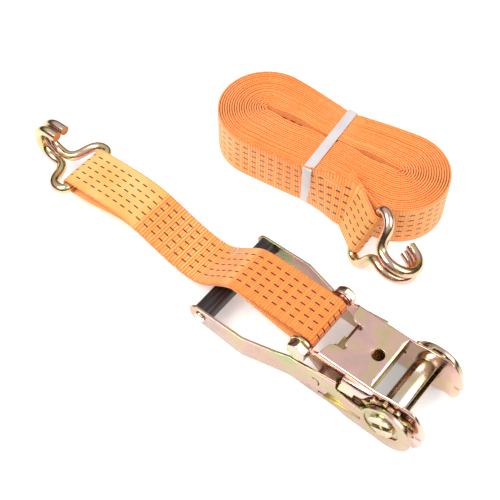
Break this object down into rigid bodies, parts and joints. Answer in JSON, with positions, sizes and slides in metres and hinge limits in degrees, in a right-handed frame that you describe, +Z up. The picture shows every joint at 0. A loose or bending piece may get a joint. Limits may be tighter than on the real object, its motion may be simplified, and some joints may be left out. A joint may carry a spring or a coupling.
{
  "type": "ratchet tie down",
  "caption": "Hand-tensioned webbing tie-down: ratchet with folding lever handle, short anchor strap and long coiled strap, both ending in claw hooks.",
  "frame": {"origin": "centre of the hole in the ratchet frame's web, on the web's upper face", "axes": "+X from the grip towards the spindle, +Y along the spindle axis to the nut end of the strap bolt, +Z up out of the web"},
  "size_m": [0.4675, 0.2804, 0.0705],
  "materials": {
    "frame_zinc": "yellow passivated zinc on pressed steel",
    "handle_zinc": "yellow passivated zinc on pressed steel",
    "wheel_zinc": "yellow passivated zinc on steel",
    "pawl_zinc": "yellow passivated zinc on pressed steel",
    "spindle_steel": "turned and split steel bar, thin yellow passivation",
    "bolt_zinc": "zinc-plated bolt and nut",
    "pin_zinc": "zinc-plated wire",
    "spring_steel": "spring wire",
    "hook_zinc": "yellow passivated zinc on bent round wire",
    "grip_plastic": "ribbed black-brown plastic",
    "rivet_steel": "headed-over rod",
    "webbing_orange": "woven polyester webbing, orange with dark marker threads",
    "band_plastic": "off-white flat plastic band"
  },
  "bodies": {
    "ratchet_frame": {"frame": "frame_zinc", "strap_bolt": "bolt_zinc", "strap_bolt_nut": "bolt_zinc", "lock_pawl_spring": "spring_steel", "anchor_strap": "webbing_orange"},
    "spindle": {"spindle_half_upper": "spindle_steel", "spindle_half_lower": "spindle_steel", "ratchet_wheel_left": "wheel_zinc", "ratchet_wheel_right": "wheel_zinc", "split_pin_left": "pin_zinc", "split_pin_right": "pin_zinc"},
    "handle": {"handle_plate_left": "handle_zinc", "handle_plate_right": "handle_zinc", "handle_crossbar": "handle_zinc", "grip": "grip_plastic", "grip_rod": "rivet_steel", "drive_pawl_spring": "spring_steel"},
    "drive_pawl": {"drive_pawl": "pawl_zinc"},
    "lock_pawl": {"lock_pawl": "pawl_zinc"},
    "anchor_hook": {"anchor_hook": "hook_zinc"},
    "coil": {"long_strap": "webbing_orange", "coil_band": "band_plastic"},
    "long_hook": {"long_hook": "hook_zinc"}
  },
  "joints": [
    {"name": "handle_fold", "type": "hinge", "parent": "ratchet_frame", "child": "handle", "pos_m": [0.0335, 0, -0.025], "axis": [0, -1, 0], "range_deg": [0, 180]},
    {"name": "spindle_turn", "type": "hinge", "parent": "ratchet_frame", "child": "spindle", "pos_m": [0.0335, 0, -0.025], "axis": [0, -1, 0], "continuous": true},
    {"name": "drive_pawl_pull", "type": "slide", "parent": "handle", "child": "drive_pawl", "axis": [-0.9863, 0, -0.165], "range_m": [0, 0.007], "stiffness_N_per_m": 600, "springref_m": -0.003},
    {"name": "lock_pawl_pull", "type": "slide", "parent": "ratchet_frame", "child": "lock_pawl", "axis": [-1, 0, 0], "range_m": [0, 0.006], "stiffness_N_per_m": 600, "springref_m": -0.003},
    {"name": "anchor_hook_swing", "type": "hinge", "parent": "ratchet_frame", "child": "anchor_hook", "pos_m": [-0.3385, 0, -0.019], "axis": [0, 1, 0], "range_deg": [-80, 80]},
    {"name": "coil_lift", "type": "slide", "parent": "ratchet_frame", "child": "coil", "axis": [0, 0, 1], "range_m": [0, 0.2]},
    {"name": "long_hook_swing", "type": "hinge", "parent": "coil", "child": "long_hook", "pos_m": [-0.0869, 0.1101, -0.0175], "axis": [0.2446, 0.3458, 0.9059], "range_deg": [-60, 15]}
  ]
}
